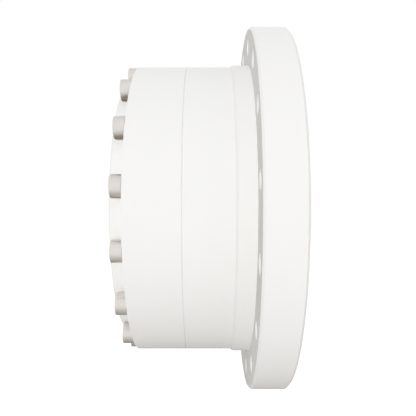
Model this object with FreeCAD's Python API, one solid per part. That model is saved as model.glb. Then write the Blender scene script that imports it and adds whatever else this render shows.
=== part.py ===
import FreeCAD, Part
import math
import os

from FreeCAD import Vector

# Strain wave gear unit with a cross-roller output bearing, in millimetres.
# The gear axis is X and points out of the output end, and Z is up.
# The origin is the centre of the flange's mounting face, so the input end lies at negative x.
# A shape that repeats is drawn above the axis and turned about it.

# Outside, with places along the axis
FLANGE_RADIUS = 95.0
FLANGE_FRONT_X = 17.8
FLANGE_CHAMFER = 1.0
PILOT_RADIUS = 76.35
PILOT_X = -8.75
PILOT_CHAMFER = 0.8
BODY_RADIUS = 75.45
SPLIT_X = -31.15
SPLIT_CHAMFER = 0.3
LEDGE_X = -55.95
LEDGE_CHAMFER = 0.1
BOSS_RADIUS = 65.5
BOSS_X = -62.9
BOSS_CHAMFER = 0.6
OUTPUT_FACE_X = 22.0

# Hole patterns of the housing, all at the same angles from straight up
HOLE_COUNT = 16
HOLE_FIRST_ANGLE = 15.0
HOLE_STEP = 360.0 / HOLE_COUNT
FLANGE_HOLE_RADIUS = 4.5
FLANGE_HOLE_CIRCLE = 85.7
FLANGE_HOLE_CHAMFER = 0.5
LEDGE_SCREW_CIRCLE = 70.1
SCALLOP_RADIUS = 5.2

# Socket-head screws: thread radius, head radius, head height, key width
SCREW_M6 = (3.0, 5.0, 6.0, 5.0)
SCREW_M6_LOW = (3.0, 5.0, 5.35, 5.0)
SCREW_M5 = (2.5, 4.25, 5.0, 4.0)
HEAD_CHAMFER = 0.4
SOCKET_DEPTH_SHARE = 0.55
CLEARANCE_HOLE_GAP = 0.3
TAPPED_HOLE_GAP = 0.05
TAPPED_HOLE_SPARE = 2.0
ASSEMBLY_SCREW_LENGTH = 40.0

# Teeth: the flexspline has two fewer than the circular spline, a ratio of 50 to 1
MODULE = 1.1
FLEX_TEETH = 100
RING_TEETH = FLEX_TEETH + 2
FLEX_PITCH_RADIUS = MODULE * FLEX_TEETH / 2
RING_PITCH_RADIUS = MODULE * RING_TEETH / 2
DEFLECTION = RING_PITCH_RADIUS - FLEX_PITCH_RADIUS
TOOTH_TOP = 0.7 * MODULE
TOOTH_ROOT = 0.9 * MODULE
FLANK_SLOPE = math.tan(math.radians(28.6))
TOOTH_THICKNESS = 0.45 * math.pi * MODULE
RING_TEETH_X = (-58.0, -36.5)
FLEX_TEETH_X = (-59.0, -37.0)
RING_RELIEF_RADIUS = 58.5
RING_BLANK_RADIUS = RING_PITCH_RADIUS - 2 * MODULE
RING_TOOTH_CHAMFER = 0.9
MOUTH_CHAMFER = 0.8

# Flexspline cup and what clamps it
FLEX_BORE_RADIUS = 52.6
CUP_WALL = 1.0
CUP_WALL_START_RADIUS = 53.7
CUP_END_RADIUS = 53.4
CUP_CORNER_X = -12.0
DIAPHRAGM_X = (-9.2, -8.0)
CUP_CORNER_FILLET = 3.6
CUP_INNER_FILLET = 2.4
FLEX_BOSS_RADIUS = 31.0
FLEX_BOSS_HOLE = 14.0
FLEX_BOSS_X = (-11.0, -4.2)
FLEX_BOSS_FILLET = 1.6
CLAMP_RING_RADII = (14.5, 30.0)
CLAMP_RING_REAR_X = -15.0
CLAMP_RING_CHAMFER = 0.8
FLEX_SCREW_COUNT = 12
FLEX_SCREW_CIRCLE = 23.0
FLEX_SCREW_LENGTH = 20.0

# Cross-roller output bearing: a square channel stood on its corner
ROLLER_PLANE_X = 5.3
ROLLER_CIRCLE = 56.0
ROLLER_COUNT = 34
ROLLER_FIRST_ANGLE = 2.0
ROLLER_RADIUS = 4.8
ROLLER_LENGTH = 9.3
CHANNEL_HALF = 10.0 / math.sqrt(2)
RING_GAP_HALF = 0.3
CHANNEL_EDGE = CHANNEL_HALF - RING_GAP_HALF
HOUSING_BORE_RADIUS = 60.2
HOUSING_BORE_END_X = -6.0
SEAL_SEAT_RADIUS = 62.0
SEAL_SEAT_X = 13.0
OUTPUT_CHAMFER = 1.0
SPIGOT_RADIUS = 36.0
RACE_RING_REAR_X = -5.0
RACE_RING_CHAMFER = 0.6
RACE_SCREW_COUNT = 8
RACE_SCREW_CIRCLE = 42.5
RACE_SCREW_SEAT_X = 0.4
RACE_SCREW_LENGTH = 12.0
COUNTERBORE_GAP = 0.35

# Output face
OUTPUT_HOLE_RADIUS = 3.4
OUTPUT_HOLE_CIRCLE = 44.0
OUTPUT_HOLE_DEPTH = 14.0
OUTPUT_HOLE_CHAMFER = 0.6
OUTPUT_PILOT_RADIUS = 28.0
OUTPUT_PILOT_DEPTH = 6.0
OUTPUT_PILOT_CHAMFER = 0.8

# Seals
SEAL_X = (13.1, 17.2)
SEAL_LIP_RADIUS = 56.0
SEAL_BODY_RADIUS = 58.6
SEAL_WEB = 1.2
SEAL_LIP_X = (15.4, 16.9)
O_RING_RADII = (61.8, 64.2)
O_RING_DEPTH = 1.5

# Wave generator: an oval cam, and a ball bearing bent to its shape
WAVE_CENTRE_X = -48.5
WAVE_BEARING_HALF_WIDTH = 8.0
OUTER_RACE_RADII = (48.8, 52.55)
INNER_RACE_RADII = (39.5, 43.2)
BALL_CIRCLE = 46.0
BALL_RADIUS = 4.75
BALL_COUNT = 23
GROOVE_RADIUS = 4.95
CAGE_RADII = (44.3, 47.7)
CAGE_X = (-50.2, -41.6)
POCKET_RADIUS = 4.95
PLUG_X = (-57.0, -40.0)
PLUG_CHAMFER = 0.8

# Oldham coupling between the cam and the motor shaft
WEB_X = (-48.5, -42.5)
PLUG_RECESS_RADIUS = 27.5
PLUG_FRONT_RECESS_RADIUS = 25.0
PLUG_SLOT_WIDTH = 12.4
PLUG_SLOT_RADIUS = 33.0
PLUG_MOUTH_CHAMFER = 0.5
WEB_BORE_RADIUS = 15.6
INSERT_X = (-54.4, -48.7)
INSERT_RADII = (16.5, 27.2)
INSERT_LUG_WIDTH = 12.2
INSERT_LUG_RADIUS = 32.6
INSERT_SLOT_WIDTH = 12.2
INSERT_SLOT_RADIUS = 23.4
INSERT_CHAMFER = 0.4
HUB_X = (-61.6, -39.8)
HUB_RADIUS = 15.4
HUB_COLLAR_X = (-56.2, -54.6)
HUB_COLLAR_RADIUS = 20.5
HUB_COLLAR_CHAMFER = 0.4
HUB_LUG_WIDTH = 12.0
HUB_LUG_RADIUS = 23.0
HUB_CHAMFER = 0.8
SHAFT_RADIUS = 9.5
KEYWAY_WIDTH = 6.0
KEYWAY_RADIUS = SHAFT_RADIUS + 2.8
WASHER_RADII = (15.6, 22.5)
WASHER_FRONT_X = -41.7
SNAP_RING_X = (-41.65, -40.65)
SNAP_GROOVE_X = (-41.7, -40.6)
SNAP_GROOVE_RADIUS = 14.4
SNAP_RING_RADII = (14.45, 18.0)
SNAP_RING_OPENING = 9.0
SET_SCREW_X = -58.9
SET_SCREW_RADIUS = 2.0
SET_SCREW_GAP = 0.03
SET_SCREW_SETBACK = 0.3
SET_SCREW_KEY = 2.0
SET_SCREW_SOCKET_DEPTH = 1.6
SET_SCREW_ANGLES = (0.0, 90.0)

ORIGIN = Vector(0, 0, 0)
AXIS = Vector(1, 0, 0)
UP = Vector(0, 0, 1)
# Length by which a cutting tool passes the face that it cuts
OVERRUN = 1.0
# Two places closer than this are the same corner
SAME_PLACE = 1e-4


def turned(outline):
    """Solid swept once round the axis by a closed outline of (x, radius) corners."""
    corners = [Vector(x, 0, radius) for x, radius in outline]
    face = Part.Face(Part.makePolygon(corners + corners[:1]))
    return face.revolve(ORIGIN, AXIS, 360)


def ring(span, radii):
    """Plain ring between two places along the axis and two radii."""
    return turned([(span[0], radii[0]), (span[1], radii[0]), (span[1], radii[1]), (span[0], radii[1])])


def rims(solid, places):
    """Round edges of a turned solid that lie at the given (x, radius) corners."""
    found = []
    for edge in solid.Edges:
        if not isinstance(edge.Curve, Part.Circle):
            continue
        for x, radius in places:
            if abs(edge.Curve.Center.x - x) < SAME_PLACE and abs(edge.Curve.Radius - radius) < SAME_PLACE:
                found.append(edge)
    return found


def chamfered(solid, size, places):
    """The turned solid with its edges at those corners broken at 45 degrees."""
    return solid.makeChamfer(size, rims(solid, places))


def filleted(solid, size, places):
    """The turned solid with its edges at those corners rounded."""
    return solid.makeFillet(size, rims(solid, places))


def rod(span, radius, circle=0.0):
    """Round rod along the axis, with its own axis that far above the gear axis."""
    return Part.makeCylinder(radius, span[1] - span[0], Vector(span[0], 0, circle), AXIS)


def countersink(mouth_x, inward, radius, depth, circle):
    """Cone that breaks the mouth of a hole at 45 degrees; inward is 1 where the hole runs towards +x."""
    start = Vector(mouth_x - inward * OVERRUN, 0, circle)
    return Part.makeCone(radius + depth + OVERRUN, radius, depth + OVERRUN, start, AXIS * inward)


def around(shape, count, first_angle=0.0):
    """Copies of a shape spread evenly round the axis, the first at that angle from straight up."""
    copies = []
    for index in range(count):
        copy = shape.copy()
        copy.rotate(ORIGIN, AXIS, first_angle + 360.0 * index / count)
        copies.append(copy)
    return copies


def rear_edges(solid, x):
    """Edges of a solid that lie in the plane across the axis at x."""
    return [edge for edge in solid.Edges
            if abs(edge.BoundBox.XMin - x) < SAME_PLACE and abs(edge.BoundBox.XMax - x) < SAME_PLACE]


def prism(points, span):
    """Solid with a flat outline of points, drawn across the axis at span[0] and drawn out to span[1]."""
    return Part.Face(Part.makePolygon(points + points[:1])).extrude(AXIS * (span[1] - span[0]))


def block(span, width, heights):
    """Block centred on the vertical plane, between two heights above the axis."""
    corner = Vector(span[0], -width / 2, heights[0])
    return Part.makeBox(span[1] - span[0], width, heights[1] - heights[0], corner)


def oval(x, radius):
    """Upright oval of that mean radius, stretched and squeezed by the flexspline's deflection."""
    top = Vector(x, 0, radius + DEFLECTION)
    side = Vector(x, radius - DEFLECTION, 0)
    return Part.Wire(Part.Ellipse(top, side, Vector(x, 0, 0)).toShape())


def oval_disc(span, radius):
    """Solid disc with the oval as its outline."""
    return Part.Face(oval(span[0], radius)).extrude(AXIS * (span[1] - span[0]))


def oval_ring(span, radii):
    """Ring between two ovals."""
    return oval_disc(span, radii[1]).cut(oval_disc(span, radii[0]))


def radial(angle):
    """Unit vector square to the axis at that angle in radians from straight up."""
    return Vector(0, -math.sin(angle), math.cos(angle))


def tangent(angle):
    """Unit vector along the turning direction at that angle in radians from straight up."""
    return Vector(0, -math.cos(angle), -math.sin(angle))


def socket_screw(size, seat_x, length, circle):
    """Socket-head screw above the axis: head to the left of its seat, plain shank of that length."""
    thread, head, height, key = size
    top_x = seat_x - height
    screw = rod((top_x, seat_x), head, circle).fuse(rod((seat_x, seat_x + length), thread, circle))
    screw = screw.removeSplitter()
    screw = screw.makeChamfer(HEAD_CHAMFER, rear_edges(screw, top_x))
    corner = key / math.sqrt(3)
    hexagon = [Vector(top_x, 0, circle) + radial(math.radians(60 * side)) * corner for side in range(6)]
    return screw.cut(prism(hexagon, (top_x, top_x + SOCKET_DEPTH_SHARE * height)))


def flexspline_outline(x):
    """Outer outline of the toothed rim, bent to the oval without stretching.

    A tooth at angle a moves out by d cos 2a and along by -d/2 sin 2a, and leans by 1.5 d sin 2a / r.
    """
    points = []
    for index in range(FLEX_TEETH):
        angle = 2 * math.pi * index / FLEX_TEETH
        out = FLEX_PITCH_RADIUS + DEFLECTION * math.cos(2 * angle)
        along = -DEFLECTION / 2 * math.sin(2 * angle)
        lean = 1.5 * DEFLECTION * math.sin(2 * angle) / FLEX_PITCH_RADIUS
        centre = Vector(x, 0, 0) + radial(angle) * out + tangent(angle) * along
        outward = radial(angle + lean)
        across = tangent(angle + lean)
        for side, height in ((-1, -TOOTH_ROOT), (-1, TOOTH_TOP), (1, TOOTH_TOP), (1, -TOOTH_ROOT)):
            half = TOOTH_THICKNESS / 2 - height * FLANK_SLOPE
            points.append(centre + outward * height + across * (side * half))
    return points


def ring_tooth_outline(x):
    """Inner outline of the circular spline: its tooth spaces, narrowing outwards."""
    space = 2 * math.pi * RING_PITCH_RADIUS / RING_TEETH - TOOTH_THICKNESS
    points = []
    for index in range(RING_TEETH):
        angle = 2 * math.pi * index / RING_TEETH
        for side, height in ((-1, -TOOTH_TOP), (-1, TOOTH_ROOT), (1, TOOTH_ROOT), (1, -TOOTH_TOP)):
            half = space / 2 - height * FLANK_SLOPE
            place = radial(angle) * (RING_PITCH_RADIUS + height) + tangent(angle) * (side * half)
            points.append(Vector(x, 0, 0) + place)
    return points


def bearing_housing():
    """Flanged housing: mounting flange, pilot band, body, and the outer raceway of the output bearing."""
    bore = ROLLER_CIRCLE + RING_GAP_HALF
    housing = turned([
        (SPLIT_X, HOUSING_BORE_RADIUS),
        (SPLIT_X, BODY_RADIUS),
        (PILOT_X, BODY_RADIUS),
        (PILOT_X, PILOT_RADIUS),
        (0, PILOT_RADIUS),
        (0, FLANGE_RADIUS),
        (FLANGE_FRONT_X, FLANGE_RADIUS),
        (FLANGE_FRONT_X, SEAL_SEAT_RADIUS),
        (SEAL_SEAT_X, SEAL_SEAT_RADIUS),
        (SEAL_SEAT_X, bore),
        (ROLLER_PLANE_X + CHANNEL_EDGE, bore),
        (ROLLER_PLANE_X, ROLLER_CIRCLE + CHANNEL_HALF),
        (ROLLER_PLANE_X - CHANNEL_EDGE, bore),
        (HOUSING_BORE_END_X, bore),
        (HOUSING_BORE_END_X, HOUSING_BORE_RADIUS),
    ])
    housing = chamfered(housing, FLANGE_CHAMFER, [(0, FLANGE_RADIUS), (FLANGE_FRONT_X, FLANGE_RADIUS)])
    housing = chamfered(housing, PILOT_CHAMFER, [(PILOT_X, PILOT_RADIUS)])
    housing = chamfered(housing, SPLIT_CHAMFER, [(SPLIT_X, BODY_RADIUS)])
    flange_hole = rod((-OVERRUN, FLANGE_FRONT_X + OVERRUN), FLANGE_HOLE_RADIUS, FLANGE_HOLE_CIRCLE)
    tapped_end_x = LEDGE_X + ASSEMBLY_SCREW_LENGTH + TAPPED_HOLE_SPARE
    tapped_hole = rod((SPLIT_X - OVERRUN, tapped_end_x), SCREW_M6_LOW[0] + TAPPED_HOLE_GAP,
                      LEDGE_SCREW_CIRCLE)
    flange_mouth = countersink(FLANGE_FRONT_X, -1, FLANGE_HOLE_RADIUS, FLANGE_HOLE_CHAMFER,
                               FLANGE_HOLE_CIRCLE)
    tools = around(flange_hole, HOLE_COUNT, HOLE_FIRST_ANGLE)
    tools += around(flange_mouth, HOLE_COUNT, HOLE_FIRST_ANGLE)
    tools += around(tapped_hole, HOLE_COUNT, HOLE_FIRST_ANGLE)
    tools.append(ring((SPLIT_X - OVERRUN, SPLIT_X + O_RING_DEPTH), O_RING_RADII))
    return housing.cut(tools)


def circular_spline():
    """Fixed internal gear: toothed bore, ledge for the screws, and rear boss scalloped round their heads."""
    blank = turned([
        (SPLIT_X, RING_RELIEF_RADIUS),
        (SPLIT_X, BODY_RADIUS),
        (LEDGE_X, BODY_RADIUS),
        (LEDGE_X, BOSS_RADIUS),
        (BOSS_X, BOSS_RADIUS),
        (BOSS_X, RING_RELIEF_RADIUS),
        (RING_TEETH_X[0], RING_RELIEF_RADIUS),
        (RING_TEETH_X[0], RING_BLANK_RADIUS),
        (RING_TEETH_X[1], RING_BLANK_RADIUS),
        (RING_TEETH_X[1], RING_RELIEF_RADIUS),
    ])
    blank = chamfered(blank, SPLIT_CHAMFER, [(SPLIT_X, BODY_RADIUS)])
    blank = chamfered(blank, LEDGE_CHAMFER, [(LEDGE_X, BODY_RADIUS)])
    blank = chamfered(blank, BOSS_CHAMFER, [(BOSS_X, BOSS_RADIUS)])
    blank = chamfered(blank, MOUTH_CHAMFER, [(BOSS_X, RING_RELIEF_RADIUS)])
    shank_hole = rod((LEDGE_X - OVERRUN, SPLIT_X + OVERRUN), SCREW_M6_LOW[0] + CLEARANCE_HOLE_GAP,
                     LEDGE_SCREW_CIRCLE)
    scallop = rod((BOSS_X - OVERRUN, LEDGE_X), SCALLOP_RADIUS, LEDGE_SCREW_CIRCLE)
    tools = around(shank_hole, HOLE_COUNT, HOLE_FIRST_ANGLE)
    tools += around(scallop, HOLE_COUNT, HOLE_FIRST_ANGLE)
    blank = blank.cut(tools).removeSplitter()
    broach_x = (RING_TEETH_X[0] - OVERRUN, RING_TEETH_X[1] + OVERRUN)
    gear = blank.cut(prism(ring_tooth_outline(broach_x[0]), broach_x))
    tip_radius = RING_PITCH_RADIUS - TOOTH_TOP
    return gear.cut(countersink(RING_TEETH_X[0], 1, tip_radius, RING_TOOTH_CHAMFER, 0))


def assembly_screws():
    """Screws that clamp the circular spline to the housing."""
    screw = socket_screw(SCREW_M6_LOW, LEDGE_X, ASSEMBLY_SCREW_LENGTH, LEDGE_SCREW_CIRCLE)
    return Part.makeCompound(around(screw, HOLE_COUNT, HOLE_FIRST_ANGLE))


def housing_o_ring():
    """Static seal in the groove of the joint face, squeezed to the groove's depth."""
    return ring((SPLIT_X, SPLIT_X + O_RING_DEPTH), O_RING_RADII)


def output_seal():
    """Shaft seal: outer sleeve, front web and a lip round the output flange."""
    return turned([
        (SEAL_X[0], SEAL_SEAT_RADIUS),
        (SEAL_X[0], SEAL_SEAT_RADIUS - SEAL_WEB),
        (SEAL_X[1] - SEAL_WEB, SEAL_SEAT_RADIUS - SEAL_WEB),
        (SEAL_X[1] - SEAL_WEB, SEAL_BODY_RADIUS),
        (SEAL_LIP_X[0], SEAL_LIP_RADIUS),
        (SEAL_LIP_X[1], SEAL_LIP_RADIUS + SEAL_WEB),
        (SEAL_X[1], SEAL_BODY_RADIUS),
        (SEAL_X[1], SEAL_SEAT_RADIUS),
    ])


def output_flange():
    """Output flange: front half of the inner raceway, pilot recess and tapped holes."""
    rim = ROLLER_CIRCLE - RING_GAP_HALF
    channel_foot = ROLLER_CIRCLE - CHANNEL_HALF
    flange = turned([
        (FLEX_BOSS_X[1], 0),
        (FLEX_BOSS_X[1], SPIGOT_RADIUS),
        (ROLLER_PLANE_X, SPIGOT_RADIUS),
        (ROLLER_PLANE_X, channel_foot),
        (ROLLER_PLANE_X + CHANNEL_EDGE, rim),
        (OUTPUT_FACE_X, rim),
        (OUTPUT_FACE_X, OUTPUT_PILOT_RADIUS),
        (OUTPUT_FACE_X - OUTPUT_PILOT_DEPTH, OUTPUT_PILOT_RADIUS),
        (OUTPUT_FACE_X - OUTPUT_PILOT_DEPTH, 0),
    ])
    flange = chamfered(flange, OUTPUT_CHAMFER, [(OUTPUT_FACE_X, rim)])
    flange = chamfered(flange, OUTPUT_PILOT_CHAMFER, [(OUTPUT_FACE_X, OUTPUT_PILOT_RADIUS)])
    output_hole = rod((OUTPUT_FACE_X - OUTPUT_HOLE_DEPTH, OUTPUT_FACE_X + OVERRUN), OUTPUT_HOLE_RADIUS,
                      OUTPUT_HOLE_CIRCLE)
    output_mouth = countersink(OUTPUT_FACE_X, -1, OUTPUT_HOLE_RADIUS, OUTPUT_HOLE_CHAMFER, OUTPUT_HOLE_CIRCLE)
    race_hole_end_x = RACE_SCREW_SEAT_X + RACE_SCREW_LENGTH + TAPPED_HOLE_SPARE
    race_hole = rod((ROLLER_PLANE_X - OVERRUN, race_hole_end_x), SCREW_M5[0] + TAPPED_HOLE_GAP,
                    RACE_SCREW_CIRCLE)
    flex_hole_end_x = CLAMP_RING_REAR_X + FLEX_SCREW_LENGTH + TAPPED_HOLE_SPARE
    flex_hole = rod((FLEX_BOSS_X[1] - OVERRUN, flex_hole_end_x), SCREW_M6[0] + TAPPED_HOLE_GAP,
                    FLEX_SCREW_CIRCLE)
    tools = around(output_hole, HOLE_COUNT, HOLE_FIRST_ANGLE)
    tools += around(output_mouth, HOLE_COUNT, HOLE_FIRST_ANGLE)
    tools += around(race_hole, RACE_SCREW_COUNT, HOLE_FIRST_ANGLE + HOLE_STEP / 2)
    tools += around(flex_hole, FLEX_SCREW_COUNT)
    return flange.cut(tools)


def inner_race_ring():
    """Rear half of the inner raceway, held on the output flange's spigot by recessed screws."""
    rim = ROLLER_CIRCLE - RING_GAP_HALF
    race = turned([
        (RACE_RING_REAR_X, SPIGOT_RADIUS),
        (RACE_RING_REAR_X, rim),
        (ROLLER_PLANE_X - CHANNEL_EDGE, rim),
        (ROLLER_PLANE_X, ROLLER_CIRCLE - CHANNEL_HALF),
        (ROLLER_PLANE_X, SPIGOT_RADIUS),
    ])
    race = chamfered(race, RACE_RING_CHAMFER, [(RACE_RING_REAR_X, rim)])
    shank_hole = rod((RACE_SCREW_SEAT_X - OVERRUN, ROLLER_PLANE_X + OVERRUN),
                     SCREW_M5[0] + CLEARANCE_HOLE_GAP, RACE_SCREW_CIRCLE)
    counterbore = rod((RACE_RING_REAR_X - OVERRUN, RACE_SCREW_SEAT_X), SCREW_M5[1] + COUNTERBORE_GAP,
                      RACE_SCREW_CIRCLE)
    first_angle = HOLE_FIRST_ANGLE + HOLE_STEP / 2
    tools = around(shank_hole, RACE_SCREW_COUNT, first_angle)
    tools += around(counterbore, RACE_SCREW_COUNT, first_angle)
    return race.cut(tools)


def race_ring_screws():
    """Screws that hold the two halves of the inner raceway together."""
    screw = socket_screw(SCREW_M5, RACE_SCREW_SEAT_X, RACE_SCREW_LENGTH, RACE_SCREW_CIRCLE)
    return Part.makeCompound(around(screw, RACE_SCREW_COUNT, HOLE_FIRST_ANGLE + HOLE_STEP / 2))


def cross_rollers():
    """Rollers at 45 degrees to the axis, every second one crossed."""
    rollers = []
    for index in range(ROLLER_COUNT):
        slope = 1 if index % 2 else -1
        along = Vector(1, 0, slope).normalize()
        start = Vector(ROLLER_PLANE_X, 0, ROLLER_CIRCLE) - along * (ROLLER_LENGTH / 2)
        roller = Part.makeCylinder(ROLLER_RADIUS, ROLLER_LENGTH, start, along)
        roller.rotate(ORIGIN, AXIS, ROLLER_FIRST_ANGLE + 360.0 * index / ROLLER_COUNT)
        rollers.append(roller)
    return Part.makeCompound(rollers)


def round_wire(x, radius):
    """Circle across the axis that starts straight up, as the ovals do."""
    circle = Part.Circle(Vector(x, 0, 0), AXIS, radius).toShape()
    start = math.degrees(math.atan2(-circle.Vertexes[0].Point.y, circle.Vertexes[0].Point.z))
    circle.rotate(ORIGIN, AXIS, -start)
    return Part.Wire(circle)


def flexspline():
    """Thin cup: oval toothed rim, wall that grows round towards its closed end, diaphragm and boss."""
    rim_end_x = FLEX_TEETH_X[1]
    rim = prism(flexspline_outline(FLEX_TEETH_X[0]), FLEX_TEETH_X)
    wall = Part.makeLoft([oval(rim_end_x, CUP_WALL_START_RADIUS), round_wire(CUP_CORNER_X, CUP_END_RADIUS)],
                         True, True)
    mouth = oval_disc((FLEX_TEETH_X[0] - OVERRUN, rim_end_x), FLEX_BORE_RADIUS)
    inner_end_radius = CUP_END_RADIUS - CUP_WALL
    hollow = Part.makeLoft([oval(rim_end_x, FLEX_BORE_RADIUS), round_wire(CUP_CORNER_X, inner_end_radius)],
                           True, True)
    closed_end = turned([
        (CUP_CORNER_X, inner_end_radius),
        (CUP_CORNER_X, CUP_END_RADIUS),
        (DIAPHRAGM_X[1], CUP_END_RADIUS),
        (DIAPHRAGM_X[1], FLEX_BOSS_RADIUS),
        (FLEX_BOSS_X[1], FLEX_BOSS_RADIUS),
        (FLEX_BOSS_X[1], FLEX_BOSS_HOLE),
        (FLEX_BOSS_X[0], FLEX_BOSS_HOLE),
        (FLEX_BOSS_X[0], FLEX_BOSS_RADIUS),
        (DIAPHRAGM_X[0], FLEX_BOSS_RADIUS),
        (DIAPHRAGM_X[0], inner_end_radius),
    ])
    closed_end = filleted(closed_end, CUP_CORNER_FILLET, [(DIAPHRAGM_X[1], CUP_END_RADIUS)])
    closed_end = filleted(closed_end, CUP_INNER_FILLET, [(DIAPHRAGM_X[0], inner_end_radius)])
    closed_end = filleted(closed_end, FLEX_BOSS_FILLET,
                          [(DIAPHRAGM_X[0], FLEX_BOSS_RADIUS), (DIAPHRAGM_X[1], FLEX_BOSS_RADIUS)])
    screw_hole = rod((FLEX_BOSS_X[0] - OVERRUN, FLEX_BOSS_X[1] + OVERRUN), SCREW_M6[0] + CLEARANCE_HOLE_GAP,
                     FLEX_SCREW_CIRCLE)
    closed_end = closed_end.cut(around(screw_hole, FLEX_SCREW_COUNT))
    return rim.fuse(wall).cut(mouth.fuse(hollow)).fuse(closed_end).removeSplitter()


def flexspline_clamp_ring():
    """Ring under the screw heads that spreads their load over the flexspline's boss."""
    clamp = ring((CLAMP_RING_REAR_X, FLEX_BOSS_X[0]), CLAMP_RING_RADII)
    clamp = chamfered(clamp, CLAMP_RING_CHAMFER, [(CLAMP_RING_REAR_X, CLAMP_RING_RADII[1])])
    screw_hole = rod((CLAMP_RING_REAR_X - OVERRUN, FLEX_BOSS_X[0] + OVERRUN),
                     SCREW_M6[0] + CLEARANCE_HOLE_GAP, FLEX_SCREW_CIRCLE)
    return clamp.cut(around(screw_hole, FLEX_SCREW_COUNT))


def flexspline_screws():
    """Screws that bolt the flexspline's boss to the output flange."""
    screw = socket_screw(SCREW_M6, CLAMP_RING_REAR_X, FLEX_SCREW_LENGTH, FLEX_SCREW_CIRCLE)
    return Part.makeCompound(around(screw, FLEX_SCREW_COUNT))


def ball_groove():
    """Ring of round section bent to the oval that the ball centres follow."""
    groove = Part.makeTorus(BALL_CIRCLE, GROOVE_RADIUS, Vector(WAVE_CENTRE_X, 0, 0), AXIS)
    stretch = FreeCAD.Matrix()
    stretch.A22 = 1 - DEFLECTION / BALL_CIRCLE
    stretch.A33 = 1 + DEFLECTION / BALL_CIRCLE
    return groove.transformGeometry(stretch)


def bearing_span():
    """Ends of the wave generator's ball bearing along the axis."""
    return (WAVE_CENTRE_X - WAVE_BEARING_HALF_WIDTH, WAVE_CENTRE_X + WAVE_BEARING_HALF_WIDTH)


def wave_bearing_outer_race():
    """Thin outer race, bent to the oval."""
    return oval_ring(bearing_span(), OUTER_RACE_RADII).cut(ball_groove())


def wave_bearing_inner_race():
    """Thin inner race, forced over the cam and so bent to its oval."""
    return oval_ring(bearing_span(), INNER_RACE_RADII).cut(ball_groove())


def ball_centres():
    """Ball centres, evenly spread along the oval."""
    centres = []
    for index in range(BALL_COUNT):
        angle = 2 * math.pi * index / BALL_COUNT
        side = -(BALL_CIRCLE - DEFLECTION) * math.sin(angle)
        height = (BALL_CIRCLE + DEFLECTION) * math.cos(angle)
        centres.append(Vector(WAVE_CENTRE_X, side, height))
    return centres


def wave_bearing_balls():
    """Balls between the two oval races."""
    return Part.makeCompound([Part.makeSphere(BALL_RADIUS, centre) for centre in ball_centres()])


def wave_bearing_cage():
    """Crown cage: a ring on the far side of the balls, with open pockets between its fingers."""
    cage = oval_ring(CAGE_X, CAGE_RADII)
    pockets = []
    for centre in ball_centres():
        outward = Vector(0, centre.y, centre.z).normalize()
        start = centre - outward * POCKET_RADIUS
        pockets.append(Part.makeCylinder(POCKET_RADIUS, 2 * POCKET_RADIUS, start, outward))
    return cage.cut(pockets)


def wave_generator_plug():
    """Oval cam: seat of the inner race, with a recess and two slots for the coupling's insert."""
    plug = oval_disc(PLUG_X, INNER_RACE_RADII[0])
    rim = [edge for edge in plug.Edges if isinstance(edge.Curve, Part.Ellipse)]
    plug = plug.makeChamfer(PLUG_CHAMFER, rim)
    slot = block((PLUG_X[0] - OVERRUN, WEB_X[0]), PLUG_SLOT_WIDTH, (0, PLUG_SLOT_RADIUS))
    tools = [
        rod((PLUG_X[0] - OVERRUN, WEB_X[0]), PLUG_RECESS_RADIUS),
        rod((WEB_X[1], PLUG_X[1] + OVERRUN), PLUG_FRONT_RECESS_RADIUS),
        rod((WEB_X[0] - OVERRUN, WEB_X[1] + OVERRUN), WEB_BORE_RADIUS),
    ]
    plug = plug.cut(tools + around(slot, 2))
    mouth = [edge for edge in rear_edges(plug, PLUG_X[0]) if not isinstance(edge.Curve, Part.Ellipse)]
    return plug.makeChamfer(PLUG_MOUTH_CHAMFER, mouth)


def oldham_insert():
    """Floating disc of the coupling: two lugs up and down for the cam, two slots sideways for the hub."""
    insert = ring(INSERT_X, INSERT_RADII)
    lug = block(INSERT_X, INSERT_LUG_WIDTH, (INSERT_SLOT_RADIUS, INSERT_LUG_RADIUS))
    slot = block((INSERT_X[0] - OVERRUN, INSERT_X[1] + OVERRUN), INSERT_SLOT_WIDTH, (0, INSERT_SLOT_RADIUS))
    insert = insert.fuse(around(lug, 2)).cut(around(slot, 2, 90.0)).removeSplitter()
    return insert.makeChamfer(INSERT_CHAMFER, rear_edges(insert, INSERT_X[0]))


def input_hub():
    """Hub for the motor shaft: keyed bore, collar and lugs that hold and turn the insert."""
    groove = ring(SNAP_GROOVE_X, (SNAP_GROOVE_RADIUS, HUB_RADIUS + OVERRUN))
    hub = chamfered(ring(HUB_X, (SHAFT_RADIUS, HUB_RADIUS)), HUB_CHAMFER, [
        (HUB_X[0], HUB_RADIUS), (HUB_X[0], SHAFT_RADIUS), (HUB_X[1], HUB_RADIUS), (HUB_X[1], SHAFT_RADIUS)])
    collar = ring(HUB_COLLAR_X, (SHAFT_RADIUS, HUB_COLLAR_RADIUS))
    collar = chamfered(collar, HUB_COLLAR_CHAMFER, [(HUB_COLLAR_X[0], HUB_COLLAR_RADIUS)])
    lug = block((HUB_COLLAR_X[1], INSERT_X[1]), HUB_LUG_WIDTH, (SHAFT_RADIUS + OVERRUN, HUB_LUG_RADIUS))
    hub = hub.fuse([collar] + around(lug, 2, 90.0)).removeSplitter()
    keyway = block((HUB_X[0] - OVERRUN, HUB_X[1] + OVERRUN), KEYWAY_WIDTH, (0, KEYWAY_RADIUS))
    tapped_hole = Part.makeCylinder(SET_SCREW_RADIUS, HUB_RADIUS + OVERRUN, Vector(SET_SCREW_X, 0, 0), UP)
    tools = [groove, keyway]
    for angle in SET_SCREW_ANGLES:
        tools += around(tapped_hole, 1, angle)
    return hub.cut(tools)


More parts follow.
